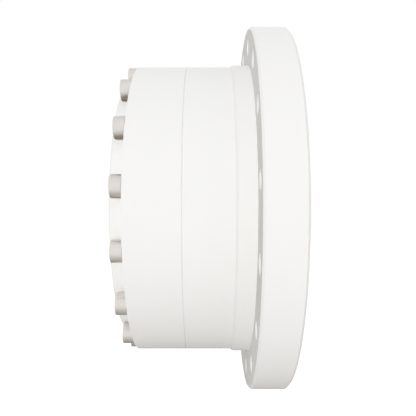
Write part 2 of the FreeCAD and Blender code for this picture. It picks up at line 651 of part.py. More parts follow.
def hub_set_screws():
    """Two set screws: one over the key, one square to it."""
    screws = []
    tops = HUB_RADIUS - SET_SCREW_SETBACK
    for angle, foot in zip(SET_SCREW_ANGLES, (KEYWAY_RADIUS, SHAFT_RADIUS)):
        start = foot + SET_SCREW_SETBACK
        screw = Part.makeCylinder(SET_SCREW_RADIUS - SET_SCREW_GAP, tops - start,
                                  Vector(SET_SCREW_X, 0, start), UP)
        corner = SET_SCREW_KEY / math.sqrt(3)
        points = []
        for side in range(6):
            turn = math.radians(60 * side)
            points.append(Vector(SET_SCREW_X + corner * math.cos(turn), corner * math.sin(turn), tops))
        socket = Part.Face(Part.makePolygon(points + points[:1])).extrude(UP * -SET_SCREW_SOCKET_DEPTH)
        screws += around(screw.cut(socket), 1, angle)
    return Part.makeCompound(screws)


def rub_washer():
    """Washer between the cam's web and the snap ring."""
    return ring((WEB_X[1], WASHER_FRONT_X), WASHER_RADII)


def snap_ring():
    """Open ring in the hub's groove."""
    closed = ring(SNAP_RING_X, SNAP_RING_RADII)
    opening = block((SNAP_RING_X[0] - OVERRUN, SNAP_RING_X[1] + OVERRUN), SNAP_RING_OPENING,
                    (0, SNAP_RING_RADII[1] + OVERRUN))
    return closed.cut(opening)


SUB_PARTS = (
    bearing_housing, circular_spline, assembly_screws, housing_o_ring, output_seal,
    output_flange, inner_race_ring, race_ring_screws, cross_rollers,
    flexspline, flexspline_clamp_ring, flexspline_screws,
    wave_bearing_outer_race, wave_bearing_inner_race, wave_bearing_balls, wave_bearing_cage,
    wave_generator_plug, oldham_insert, input_hub, hub_set_screws, rub_washer, snap_ring,
)

os.makedirs("parts", exist_ok=True)
for sub_part in SUB_PARTS:
    sub_part().exportStep(os.path.join("parts", sub_part.__name__ + ".step"))
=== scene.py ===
import math

import bpy
import numpy as np
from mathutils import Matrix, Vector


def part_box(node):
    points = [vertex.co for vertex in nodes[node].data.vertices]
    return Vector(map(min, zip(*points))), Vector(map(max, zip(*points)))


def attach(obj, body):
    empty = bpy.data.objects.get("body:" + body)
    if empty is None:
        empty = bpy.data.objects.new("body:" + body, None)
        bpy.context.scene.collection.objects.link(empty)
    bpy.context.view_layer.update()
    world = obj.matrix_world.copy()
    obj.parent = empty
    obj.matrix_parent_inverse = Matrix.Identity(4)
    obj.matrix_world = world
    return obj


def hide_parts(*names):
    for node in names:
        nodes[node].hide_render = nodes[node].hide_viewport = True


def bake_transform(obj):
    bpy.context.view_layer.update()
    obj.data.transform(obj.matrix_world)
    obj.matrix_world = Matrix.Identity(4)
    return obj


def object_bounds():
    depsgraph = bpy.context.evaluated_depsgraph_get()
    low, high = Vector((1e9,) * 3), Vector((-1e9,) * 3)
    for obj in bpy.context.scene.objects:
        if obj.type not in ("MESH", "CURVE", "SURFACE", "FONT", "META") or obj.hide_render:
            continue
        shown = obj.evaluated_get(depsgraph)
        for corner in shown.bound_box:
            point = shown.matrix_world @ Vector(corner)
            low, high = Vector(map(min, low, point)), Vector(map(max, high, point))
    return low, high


# Strain wave gear unit: finishes, fine pieces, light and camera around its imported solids, in metres.
# The gear axis is X and points out of the output end, Z is up, and angles round the axis count from
# straight up towards the camera side, which is negative y.

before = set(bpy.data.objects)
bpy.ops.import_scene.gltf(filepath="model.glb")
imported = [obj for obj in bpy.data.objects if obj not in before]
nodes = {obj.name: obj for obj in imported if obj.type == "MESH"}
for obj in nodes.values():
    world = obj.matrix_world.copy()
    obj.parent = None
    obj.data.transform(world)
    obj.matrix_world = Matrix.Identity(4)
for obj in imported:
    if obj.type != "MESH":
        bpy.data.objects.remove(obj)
solid_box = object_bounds()

MM = 0.001
TURN = 2 * math.pi
WHITE = (1.0, 1.0, 1.0, 1.0)

# Camera: level with the axis and square to it, with the flange to its right
CAMERA_PLACE = (-20.4 * MM, -280.0 * MM, 0.0)
CAMERA_ANGLE = math.radians(45.0)
CAMERA_NEAREST = 10.0 * MM
LEVEL_TILT = math.radians(90.0)

# Light: a pale room, brighter high up behind the part, and a far lamp behind the camera, to its left
ROOM_LIGHT = 0.64
ROOM_HIGH_LIGHT = 1.35
ROOM_MIRRORED = 0.88
ROOM_MIRRORED_FALL = -0.12
LAMP_LIGHT = 1.20
LAMP_HEIGHT_ANGLE = math.radians(2.5)
LAMP_SIDE_ANGLE = math.radians(6.0)
LAMP_SPREAD = math.radians(4.0)

# Floor: pale, with a glow that makes it white to the camera and is weaker in reflections
FLOOR_DROP = 110.0 * MM
FLOOR_SIZE = 6.0
FLOOR_COLOUR = (0.735, 0.725, 0.705)
FLOOR_GLOW = 0.52
FLOOR_MIRRORED_GLOW = 0.38

# Dark parts of the floor that the camera never sees directly, for scattered light and for reflections
DARK_FLOOR_COLOUR = (0.15, 0.13, 0.105)
DARK_FLOOR_LEFT = -60.0 * MM
DARK_FLOOR_FRONT = -68.0 * MM
DARK_REFLECTION_EDGE = (-320.0 * MM, 190.0 * MM)
DARK_REFLECTION_X = -100.0 * MM
DARK_REFLECTION_HALF_WIDTH = 200.0 * MM

# Places round the axis of the assembly screws and of the output holes
HOLE_COUNT = 16
HOLE_FIRST_ANGLE = math.radians(15.0)
HOLE_ANGLES = HOLE_FIRST_ANGLE + TURN * np.arange(HOLE_COUNT) / HOLE_COUNT

# Screws that hold the circular spline
SCREW_CIRCLE = 70.1 * MM
SCREW_TOP_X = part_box("assembly_screws")[0].x
SCREW_TIP_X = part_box("assembly_screws")[1].x
SCREW_THREAD_RADIUS = 3.0 * MM
SCREW_TIP_CHAMFER = 0.5 * MM
SCREW_TIP_RING = 0.3 * MM
SCREW_HEAD_RADIUS = 5.0 * MM
SCREW_HEAD_HEIGHT = 5.35 * MM
SCREW_HEAD_ROUNDING = 0.3 * MM
SCREW_FOOT_CHAMFER = 0.2 * MM
SCREW_KEY = 5.0 * MM
SOCKET_BEVEL = 0.28 * MM
SOCKET_DEPTH = 0.55 * SCREW_HEAD_HEIGHT
SOCKET_CONE_DEPTH = 0.9 * MM
SOCKET_CONE_TIP = 0.15 * MM
SOCKET_TURN_SEED = 7
SCREW_COLUMNS = 60
HEAD_ROUNDING_POINTS = 7

# Tapped holes of the output face
OUTPUT_HOLE_CIRCLE = 44.0 * MM
OUTPUT_HOLE_RADIUS = 3.4 * MM
OUTPUT_HOLE_DEPTH = 14.0 * MM
THREAD_PITCH = 1.25 * MM
THREAD_DEPTH = 0.34 * MM
THREAD_START = 0.65 * MM
THREAD_END_GAP = 0.7 * MM
THREAD_PROUD_OF_WALL = 0.01 * MM
THREAD_BEHIND_WALL = 0.05 * MM
THREAD_COLUMNS = 28
THREAD_ROWS_PER_PITCH = 8

# Flexspline: a thin toothed cup, oval at its open end and round at its closed end
FLEX_TEETH = 100
MODULE = 1.1 * MM
FLEX_PITCH_RADIUS = MODULE * FLEX_TEETH / 2
DEFLECTION = MODULE
TOOTH_TOP = 0.7 * MODULE
TOOTH_ROOT = 0.9 * MODULE
TOOTH_THICKNESS = 0.45 * math.pi * MODULE
FLANK_SLOPE = math.tan(math.radians(28.6))
TEETH_X = (-59.0 * MM, -37.0 * MM)
FLEX_BORE_RADIUS = 52.6 * MM
CUP_WALL_RADIUS = 53.7 * MM
CUP_END_RADIUS = 53.4 * MM
CUP_WALL = 1.0 * MM
CUP_CORNER_X = -12.0 * MM
CUP_CORNER_FILLET = 3.6 * MM
CUP_INNER_FILLET = 2.4 * MM
DIAPHRAGM_X = (-9.2 * MM, -8.0 * MM)
FLEX_BOSS_RADII = (14.0 * MM, 31.0 * MM)
FLEX_BOSS_X = (-11.0 * MM, -4.2 * MM)
FLEX_BOSS_FILLET = 1.6 * MM
FLEX_SCREW_COUNT = 12
FLEX_SCREW_CIRCLE = 23.0 * MM
FLEX_SCREW_HOLE_RADIUS = 3.3 * MM

# Points along the cup's wall, its fillets and the sides of the sectors round its screw holes
WALL_RINGS = 64
CUP_CORNER_POINTS = 8
CUP_INNER_POINTS = 6
BOSS_FILLET_POINTS = 5
HOLE_SECTOR_SIDE_POINTS = 10

# Pale coating, with painted shade darkening the joint line between the two housings and the pilot's edge
COAT_DULL = (0.925, 0.922, 0.911)
COAT_CLEAR = (0.940, 0.937, 0.928)
COAT_ROUGHNESS = (0.76, 0.86)
COAT_GLOSS = 0.08
COAT_CLOUD_SIZE = 30.0 * MM
COAT_GRAIN_SIZE = 0.35 * MM
COAT_GRAIN_DEPTH = 0.004 * MM
JOINT_PAINTED_SHADE_TONE = (0.875, 0.87, 0.855)
JOINT_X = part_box("circular_spline")[1].x
JOINT_HALF_WIDTH = 0.3 * MM
PILOT_EDGE_PAINTED_SHADE_TONE = (0.88, 0.875, 0.86)
PILOT_EDGE_X = -8.6 * MM
PILOT_EDGE_HALF_WIDTH = 0.5 * MM

# Walls of the flange's holes: painted light, a tone lighter than the coating that brightens them against
# their shade
HOLE_WALL_PAINTED_LIGHT_TONE = (0.985, 0.983, 0.976)
HOLE_WALL_X = 8.9 * MM
HOLE_WALL_HALF_LENGTH = 8.86 * MM
HOLE_WALL_CIRCLE = 85.7 * MM
HOLE_WALL_REACH = 8.0 * MM

# Mounting face of the flange: painted shade darkens it below the coating, and painted light lightens it
# towards its foot
MOUNTING_FACE_PAINTED_SHADE_TONE = (0.73, 0.725, 0.70)
MOUNTING_FACE_FOOT_PAINTED_LIGHT_TONE = (0.87, 0.865, 0.84)
MOUNTING_FACE_FOOT_Z = (-40.0 * MM, -75.0 * MM)
MOUNTING_FACE_X = 0.0
MOUNTING_FACE_RADIUS = 76.5 * MM
SAME_PLANE = 0.03 * MM

# Circular spline: a painted dark reflection on the coating above an edge, and bare steel inside a radius,
# rear chamfer included
PAINTED_DARK_REFLECTION_TONE = (0.30, 0.265, 0.225)
PAINTED_DARK_REFLECTION_EDGE = (-9.0 * MM, -2.0 * MM)
BARE_BORE_RADIUS = 59.4 * MM

# Clouds on turned metal, and the angle between faces from which an edge stays sharp
METAL_CLOUD_SIZE = 9.0 * MM
SHARP_ANGLE = math.radians(32.0)


def set_socket(tree, socket, value):
    """Links a socket to another node's output, or sets its value."""
    if isinstance(value, bpy.types.NodeSocket):
        tree.links.new(value, socket)
    else:
        socket.default_value = value


def add_node(tree, kind, sockets=None, **options):
    """Adds a shader node with its options, and sets or links its sockets by name or number."""
    made = tree.nodes.new(kind)
    for option, value in options.items():
        setattr(made, option, value)
    for socket, value in (sockets or {}).items():
        set_socket(tree, made.inputs[socket], value)
    return made


def math_node(tree, operation, *values):
    """Output of a Math node on up to three values or sockets."""
    return add_node(tree, "ShaderNodeMath", dict(enumerate(values)), operation=operation).outputs[0]


def bare_tree(owner):
    """Empty node tree of a material or a world."""
    owner.use_nodes = True
    owner.node_tree.nodes.clear()
    return owner.node_tree


def new_finish(name):
    """Material with a surface shader only: it, its tree, the shader and the piece's own coordinates."""
    material = bpy.data.materials.new(name)
    tree = bare_tree(material)
    surface = tree.nodes.new("ShaderNodeBsdfPrincipled")
    add_node(tree, "ShaderNodeOutputMaterial", {0: surface.outputs[0]})
    place = tree.nodes.new("ShaderNodeTexCoord").outputs["Object"]
    return material, tree, surface, place


def fill(tree, surface, sockets):
    """Sets or links the surface shader's sockets."""
    for socket, value in sockets.items():
        set_socket(tree, surface.inputs[socket], value)


def roughen(tree, surface, height, depth):
    """Gives the surface a relief of that depth from a height between 0 and 1."""
    bump = add_node(tree, "ShaderNodeBump", {"Height": height, "Strength": 1.0, "Distance": depth})
    set_socket(tree, surface.inputs["Normal"], bump.outputs[0])


def between(tree, share, low, high):
    """A number that runs from low to high as the share runs from 0 to 1."""
    sockets = {"Value": share, "To Min": low, "To Max": high}
    return add_node(tree, "ShaderNodeMapRange", sockets).outputs[0]


def rise(tree, value, edges):
    """A share that runs from 0 to 1 as the value runs from the first edge to the second."""
    sockets = {"Value": value, "From Min": edges[0], "From Max": edges[1]}
    return add_node(tree, "ShaderNodeMapRange", sockets).outputs[0]


def colour_between(tree, share, first, second):
    """A colour that runs from the first to the second as the share runs from 0 to 1.

    In a Mix node, sockets 6 and 7 take the two colours, and output 2 gives the mixed one.
    """
    first, second = (
        tone if isinstance(tone, bpy.types.NodeSocket) else (*tone, 1.0) for tone in (first, second)
    )
    return add_node(tree, "ShaderNodeMix", {0: share, 6: first, 7: second}, data_type="RGBA").outputs[2]


def speckle(tree, place, size, detail=2.0):
    """Noise between 0 and 1 with patches of about that size."""
    sockets = {"Vector": place, "Scale": 1 / size, "Detail": detail}
    return add_node(tree, "ShaderNodeTexNoise", sockets).outputs[0]


def lengthwise_streaks(tree, place, width, squeeze):
    """Noise in streaks of that width, drawn out by squeezing the places along the gear axis."""
    drawn = add_node(tree, "ShaderNodeMapping", {"Vector": place, "Scale": (squeeze, 1.0, 1.0)})
    return speckle(tree, drawn.outputs[0], width)


def measure(tree, place):
    """Place along the gear axis, height above it and distance from it."""
    along, across, height = add_node(tree, "ShaderNodeSeparateXYZ", {0: place}).outputs
    squares = [math_node(tree, "POWER", part, 2.0) for part in (across, height)]
    return along, height, math_node(tree, "SQRT", math_node(tree, "ADD", *squares))


def turning_marks(tree, place, pitch):
    """Uneven rings left by a lathe: noise along the distance from the axis plus the place along it."""
    along, _, radius = measure(tree, place)
    sockets = {"W": math_node(tree, "ADD", radius, along), "Scale": 1 / pitch, "Detail": 2.0}
    return add_node(tree, "ShaderNodeTexNoise", sockets, noise_dimensions="1D").outputs[0]


def seen_ray(tree):
    """1 on a ray from the camera, a reflection or a ray through glass, otherwise 0."""
    ray = add_node(tree, "ShaderNodeLightPath").outputs
    turned_aside = math_node(tree, "MAXIMUM", ray["Is Glossy Ray"], ray["Is Transmission Ray"])
    return math_node(tree, "MAXIMUM", ray["Is Camera Ray"], turned_aside)


def mirrored_ray(tree):
    """1 on a reflection that the camera sees with no scattering before it, otherwise 0."""
    ray = add_node(tree, "ShaderNodeLightPath").outputs
    unscattered = math_node(tree, "LESS_THAN", ray["Diffuse Depth"], 1.0)
    return math_node(tree, "MULTIPLY", ray["Is Glossy Ray"], unscattered)


def coat_tone(tree, place, clouds):
    """Colour of the coating: clouded, with painted shade in the joint line and at the pilot's edge.

    The walls of the flange's holes are lighter, as painted light; the mounting face is darker, as painted
    shade, and runs to a lighter tone towards its foot, as painted light.
    """
    along, height, radius = measure(tree, place)
    joint = math_node(tree, "COMPARE", along, JOINT_X, JOINT_HALF_WIDTH)
    pilot_edge = math_node(tree, "COMPARE", along, PILOT_EDGE_X, PILOT_EDGE_HALF_WIDTH)
    hole_length = math_node(tree, "COMPARE", along, HOLE_WALL_X, HOLE_WALL_HALF_LENGTH)
    hole_ring = math_node(tree, "COMPARE", radius, HOLE_WALL_CIRCLE, HOLE_WALL_REACH)
    painted_light_hole_wall = math_node(tree, "MULTIPLY", hole_length, hole_ring)
    face_plane = math_node(tree, "COMPARE", along, MOUNTING_FACE_X, SAME_PLANE)
    face_ring = math_node(tree, "GREATER_THAN", radius, MOUNTING_FACE_RADIUS)
    face = math_node(tree, "MULTIPLY", face_plane, face_ring)
    foot = rise(tree, height, MOUNTING_FACE_FOOT_Z)
    tone = colour_between(tree, clouds, COAT_DULL, COAT_CLEAR)
    # Painted shade: a darker tone along the joint line and at the pilot's edge
    tone = colour_between(tree, joint, tone, JOINT_PAINTED_SHADE_TONE)
    tone = colour_between(tree, pilot_edge, tone, PILOT_EDGE_PAINTED_SHADE_TONE)
    # Painted light: the walls of the flange's holes are lighter than the coating
    tone = colour_between(tree, painted_light_hole_wall, tone, HOLE_WALL_PAINTED_LIGHT_TONE)
    # Painted shade on the mounting face, with painted light towards its foot
    painted_face_shade_and_light = colour_between(tree, foot, MOUNTING_FACE_PAINTED_SHADE_TONE, MOUNTING_FACE_FOOT_PAINTED_LIGHT_TONE)
    return colour_between(tree, face, tone, painted_face_shade_and_light)


def pale_coat():
    """Satin pale coating: faint clouding and a very fine texture."""
    material, tree, surface, place = new_finish("pale_satin_coat")
    clouds = speckle(tree, place, COAT_CLOUD_SIZE, detail=3.0)
    fill(tree, surface, {
        "Base Color": coat_tone(tree, place, clouds),
        "Roughness": between(tree, clouds, *COAT_ROUGHNESS),
        "Specular IOR Level": COAT_GLOSS,
    })
    roughen(tree, surface, speckle(tree, place, COAT_GRAIN_SIZE), COAT_GRAIN_DEPTH)
    return material


def pale_coat_with_bare_bore():
    """The pale coating outside, with a painted dark reflection on its upper half, and broached steel in the
    bore.
    """
    material, tree, surface, place = new_finish("pale_coat_and_broached_steel")
    _, height, radius = measure(tree, place)
    bare = math_node(tree, "LESS_THAN", radius, BARE_BORE_RADIUS)
    clouds = speckle(tree, place, COAT_CLOUD_SIZE, detail=3.0)
    # Painted reflection: the coat's upper half shows a dark brown tone when seen in reflections
    painted_dark_reflection = math_node(tree, "MULTIPLY", rise(tree, height, PAINTED_DARK_REFLECTION_EDGE), mirrored_ray(tree))
    coat = colour_between(tree, painted_dark_reflection, coat_tone(tree, place, clouds), PAINTED_DARK_REFLECTION_TONE)
    coat_roughness = between(tree, clouds, *COAT_ROUGHNESS)
    streaks = lengthwise_streaks(tree, place, width=0.25 * MM, squeeze=0.06)
    steel = colour_between(tree, streaks, (0.44, 0.43, 0.415), (0.56, 0.55, 0.53))
    steel_roughness = between(tree, streaks, 0.28, 0.40)
    fill(tree, surface, {
        "Base Color": colour_between(tree, bare, coat, steel),
        "Metallic": bare,
        "Roughness": between(tree, bare, coat_roughness, steel_roughness),
        "Specular IOR Level": COAT_GLOSS,
    })
    roughen(tree, surface, speckle(tree, place, COAT_GRAIN_SIZE), COAT_GRAIN_DEPTH)
    return material


def turned_metal(name, dark, light, roughness, pitch, depth):
    """Metal with uneven turning rings in its colour, gloss and relief, the first two softened by clouds."""
    material, tree, surface, place = new_finish(name)
    marks = turning_marks(tree, place, pitch)
    clouds = speckle(tree, place, METAL_CLOUD_SIZE, detail=3.0)
    mean = math_node(tree, "MULTIPLY", math_node(tree, "ADD", marks, clouds), 0.5)
    fill(tree, surface, {
        "Base Color": colour_between(tree, mean, dark, light),
        "Metallic": 1.0,
        "Roughness": between(tree, mean, *roughness),
    })
    roughen(tree, surface, marks, depth)
    return material


def ground_bearing_steel():
    """Hard bright steel of races, balls and rollers, with hair-fine grinding marks."""
    material, tree, surface, place = new_finish("ground_bearing_steel")
    hairs = turning_marks(tree, place, pitch=0.12 * MM)
    clouds = speckle(tree, place, size=6.0 * MM)
    fill(tree, surface, {
        "Base Color": colour_between(tree, clouds, (0.54, 0.545, 0.55), (0.64, 0.645, 0.65)),
        "Metallic": 1.0,
        "Roughness": between(tree, hairs, 0.12, 0.22),
    })
    roughen(tree, surface, hairs, depth=0.0006 * MM)
    return material


def flexspline_steel():
    """Springy alloy steel, shaped teeth and all, with a faint straw tint and fine lengthwise streaks."""
    material, tree, surface, place = new_finish("flexspline_steel")
    streaks = lengthwise_streaks(tree, place, width=0.3 * MM, squeeze=0.05)
    fill(tree, surface, {
        "Base Color": colour_between(tree, streaks, (0.42, 0.408, 0.38), (0.54, 0.527, 0.495)),
        "Metallic": 1.0,
        "Roughness": between(tree, streaks, 0.26, 0.38),
    })
    roughen(tree, surface, streaks, depth=0.002 * MM)
    return material


def cage_resin():
    """Brown glass-filled resin of the ball cage, mottled and a little waxy."""
    material, tree, surface, place = new_finish("cage_resin")
    mottle = speckle(tree, place, size=2.5 * MM, detail=4.0)
    fill(tree, surface, {
        "Base Color": colour_between(tree, mottle, (0.24, 0.125, 0.05), (0.34, 0.19, 0.08)),
        "Roughness": between(tree, mottle, 0.38, 0.52),
    })
    roughen(tree, surface, speckle(tree, place, size=0.3 * MM), depth=0.006 * MM)
    return material


def seal_rubber():
    """Black nitrile rubber, slightly dusty."""
    material, tree, surface, place = new_finish("seal_rubber")
    dust = speckle(tree, place, size=1.8 * MM, detail=4.0)
    fill(tree, surface, {
        "Base Color": colour_between(tree, dust, (0.012, 0.012, 0.013), (0.035, 0.035, 0.036)),
        "Roughness": between(tree, dust, 0.48, 0.66),
    })
    roughen(tree, surface, speckle(tree, place, size=0.2 * MM), depth=0.006 * MM)
    return material


def black_spring_steel():
    """Oiled black oxide on hardened steel."""
    material, tree, surface, place = new_finish("black_oxide_steel")
    patches = speckle(tree, place, size=1.2 * MM, detail=3.0)
    fill(tree, surface, {
        "Base Color": colour_between(tree, patches, (0.030, 0.031, 0.034), (0.060, 0.060, 0.064)),
        "Metallic": 0.6,
        "Roughness": between(tree, patches, 0.28, 0.42),
    })
    roughen(tree, surface, patches, depth=0.003 * MM)
    return material


def grid_faces(rows, columns, rows_close):
    """Quads between neighbouring points of a grid whose columns close on themselves."""
    index = np.arange(rows * columns).reshape(rows, columns)
    right = np.roll(index, -1, axis=1)
    if rows_close:
        after, after_right = np.roll(index, -1, axis=0), np.roll(right, -1, axis=0)
    else:
        index, right, after, after_right = index[:-1], right[:-1], index[1:], right[1:]
    return np.stack([index, right, after_right, after], axis=-1).reshape(-1, 4)


def faces_of_copies(faces, count, points_each):
    """Faces of a number of like copies, whose points follow each other."""
    starts = points_each * np.arange(count)[:, None, None]
    return (faces + starts).reshape(-1, faces.shape[1])


def round_the_axis(along, radius, angle):
    """Points at places along the axis, distances from it and angles round it."""
    along, radius, angle = np.broadcast_arrays(along, radius, angle)
    return np.stack([along, -radius * np.sin(angle), radius * np.cos(angle)], axis=-1)


def turned_about_axis(points, angle):
    """Points turned about the gear axis by one angle, or by several, which gives a copy for each."""
    x, y, z = np.moveaxis(points, -1, 0)
    cos, sin = np.cos(angle), np.sin(angle)
    return np.stack(np.broadcast_arrays(x, y * cos - z * sin, y * sin + z * cos), axis=-1)


def arc(centre, radius, first, last, count):
    """Points of an arc in the (x, radius) plane, between two angles in degrees from +x."""
    angle = np.radians(np.linspace(first, last, count))
    return np.stack([centre[0] + radius * np.cos(angle), centre[1] + radius * np.sin(angle)], axis=-1)


def new_object(name, data):
    """Object in the scene that holds a mesh, a lamp or a camera."""
    made = bpy.data.objects.new(name, data)
    bpy.context.scene.collection.objects.link(made)
    return made


def new_piece(name, points, face_arrays, material):
    """Object from an array of points and arrays of faces, smooth but for its sharp corners."""
    faces = [face for array in face_arrays for face in array.tolist()]
    mesh = bpy.data.meshes.new(name)
    mesh.from_pydata(points.reshape(-1, 3).tolist(), [], faces)
    mesh.shade_smooth()
    mesh.set_sharp_from_angle(angle=SHARP_ANGLE)
    mesh.materials.append(material)
    return new_object(name, mesh)


def toothed_outline():
    """Outer corners of the toothed rim, bent to the oval without stretching.

    A tooth at angle a moves out by d cos 2a and along by -d/2 sin 2a, and leans by 1.5 d sin 2a / r.
    Its four corners lie at the root and the tip, on either side, narrower at the tip by the flank's slope.
    """
    angle = TURN * np.arange(FLEX_TEETH)[:, None] / FLEX_TEETH
    side = np.array([-1.0, -1.0, 1.0, 1.0])
    height = np.array([-TOOTH_ROOT, TOOTH_TOP, TOOTH_TOP, -TOOTH_ROOT])
    across = side * (TOOTH_THICKNESS / 2 - height * FLANK_SLOPE)
    out = FLEX_PITCH_RADIUS + DEFLECTION * np.cos(2 * angle)
    along = -DEFLECTION / 2 * np.sin(2 * angle)
    lean = angle + 1.5 * DEFLECTION * np.sin(2 * angle) / FLEX_PITCH_RADIUS
    y = -out * np.sin(angle) - along * np.cos(angle) - height * np.sin(lean) - across * np.cos(lean)
    z = out * np.cos(angle) - along * np.sin(angle) + height * np.cos(lean) - across * np.sin(lean)
    return np.stack([y.ravel(), z.ravel()], axis=-1)


def drilled_boss(rings, angle, front_row):
    """Screw holes through the cup's boss: the points that they add, and the faces round and in them.

    Each hole has a sector of the boss's two flat faces, cut off midway to the next holes. Every point of
    the sector's edge is joined to the point of the hole's rim that lies towards it, and the front rim is
    joined to the rear one.
    """
    count = len(angle)
    index = np.arange(len(rings) * count).reshape(-1, count)
    cuts = np.searchsorted(angle, TURN * (np.arange(FLEX_SCREW_COUNT) + 0.5) / FLEX_SCREW_COUNT)
    share = np.linspace(0.0, 1.0, HOLE_SECTOR_SIDE_POINTS + 2)[1:-1, None, None]
    flat_faces = ((front_row, front_row + 1), (front_row + 3, front_row + 2))
    sides = np.stack([
        rings[outer, cuts] * (1 - share) + rings[inner, cuts] * share for outer, inner in flat_faces
    ])
    side_index = index.size + np.arange(sides.size // 3).reshape(sides.shape[:3])
    points = np.concatenate([rings.reshape(-1, 3), sides.reshape(-1, 3)])
    added, faces, start = [sides.reshape(-1, 3)], [], len(points)
    for number in range(FLEX_SCREW_COUNT):
        after = (number + 1) % FLEX_SCREW_COUNT
        end = cuts[after] if after else cuts[after] + count
        columns = np.arange(cuts[number], end + 1) % count
        front, rear = (
            np.concatenate([index[outer, columns], side[:, after],
                            index[inner, columns[::-1]], side[::-1, number]])
            for (outer, inner), side in zip(flat_faces, side_index)
        )
        hole_angle = TURN * after / FLEX_SCREW_COUNT
        middle = FLEX_SCREW_CIRCLE * np.array([-math.sin(hole_angle), math.cos(hole_angle)])
        towards = points[front][:, 1:] - middle
        rim = middle + FLEX_SCREW_HOLE_RADIUS * towards / np.linalg.norm(towards, axis=1, keepdims=True)
        added += [np.column_stack([np.full(len(rim), x), rim]) for x in reversed(FLEX_BOSS_X)]
        front_rim = start + np.arange(len(rim))
        rear_rim = front_rim + len(rim)
        start += 2 * len(rim)
        for loop, next_loop in ((front, front_rim), (front_rim, rear_rim), (rear_rim, rear)):
            faces.append(np.stack([loop, np.roll(loop, -1), np.roll(next_loop, -1), next_loop], axis=-1))
    return np.concatenate(added), np.concatenate(faces)


def flexing_cup(material):
    """Flexspline as one closed surface: a profile carried round the axis.

    At each profile point the ring is an oval of radius r + s d cos 2a, where s is 1 at the toothed rim
    and falls to 0 at the closed end. The two outer rings of the rim follow the tooth outline instead.
    The boss is drilled for its screws.
    """
    teeth = toothed_outline()
    angle = np.unwrap(np.arctan2(-teeth[:, 0], teeth[:, 1]))
    share = np.linspace(0.0, 1.0, WALL_RINGS)
    wall_x = TEETH_X[1] + (CUP_CORNER_X - TEETH_X[1]) * share
    outer = np.stack([wall_x, CUP_WALL_RADIUS + (CUP_END_RADIUS - CUP_WALL_RADIUS) * share], axis=-1)
    inner_end = CUP_END_RADIUS - CUP_WALL
    inner = np.stack([wall_x, FLEX_BORE_RADIUS + (inner_end - FLEX_BORE_RADIUS) * share], axis=-1)
    corner = (DIAPHRAGM_X[1] - CUP_CORNER_FILLET, CUP_END_RADIUS - CUP_CORNER_FILLET)
    boss_front = (DIAPHRAGM_X[1] + FLEX_BOSS_FILLET, FLEX_BOSS_RADII[1] + FLEX_BOSS_FILLET)
    boss_rear = (DIAPHRAGM_X[0] - FLEX_BOSS_FILLET, FLEX_BOSS_RADII[1] + FLEX_BOSS_FILLET)
    inner_corner = (DIAPHRAGM_X[0] - CUP_INNER_FILLET, inner_end - CUP_INNER_FILLET)
    front_end = np.concatenate([
        arc(corner, CUP_CORNER_FILLET, 90, 0, CUP_CORNER_POINTS),
        arc(boss_front, FLEX_BOSS_FILLET, 180, 270, BOSS_FILLET_POINTS),
    ])
    closed_end = np.concatenate([
        front_end,
        [(FLEX_BOSS_X[1], FLEX_BOSS_RADII[1]), (FLEX_BOSS_X[1], FLEX_BOSS_RADII[0])],
        [(FLEX_BOSS_X[0], FLEX_BOSS_RADII[0]), (FLEX_BOSS_X[0], FLEX_BOSS_RADII[1])],
        arc(boss_rear, FLEX_BOSS_FILLET, 270, 360, BOSS_FILLET_POINTS)[1:],
        arc(inner_corner, CUP_INNER_FILLET, 0, 90, CUP_INNER_POINTS),
    ])
    profile = np.concatenate([outer, closed_end, inner[::-1], [(TEETH_X[0], FLEX_BORE_RADIUS)]])
    oval = np.concatenate([1 - share, np.zeros(len(closed_end)), 1 - share[::-1], [1.0]])
    radius = profile[:, 1:] + DEFLECTION * oval[:, None] * np.cos(2 * angle)
    smooth_rings = round_the_axis(profile[:, :1], radius, angle)
    rim_rings = np.stack([np.column_stack([np.full(len(teeth), x), teeth]) for x in TEETH_X])
    rings = np.concatenate([rim_rings, smooth_rings])
    boss_row = len(rim_rings) + len(outer) + len(front_end)
    hole_points, hole_faces = drilled_boss(rings, angle, boss_row)
    ring_faces = grid_faces(len(rings), len(teeth), rows_close=True).reshape(len(rings), -1, 4)
    plain_faces = np.delete(ring_faces, [boss_row, boss_row + 2], axis=0).reshape(-1, 4)
    points = np.concatenate([rings.reshape(-1, 3), hole_points])
    return new_piece("flexing_toothed_cup", points, [plain_faces, hole_faces], material)


def hexagon_radius(angle, key):
    """Distance from a hexagon's middle to its side at each angle, for a given width across flats."""
    from_flat = np.mod(angle, TURN / 6) - TURN / 12
    return key / 2 / np.cos(from_flat)


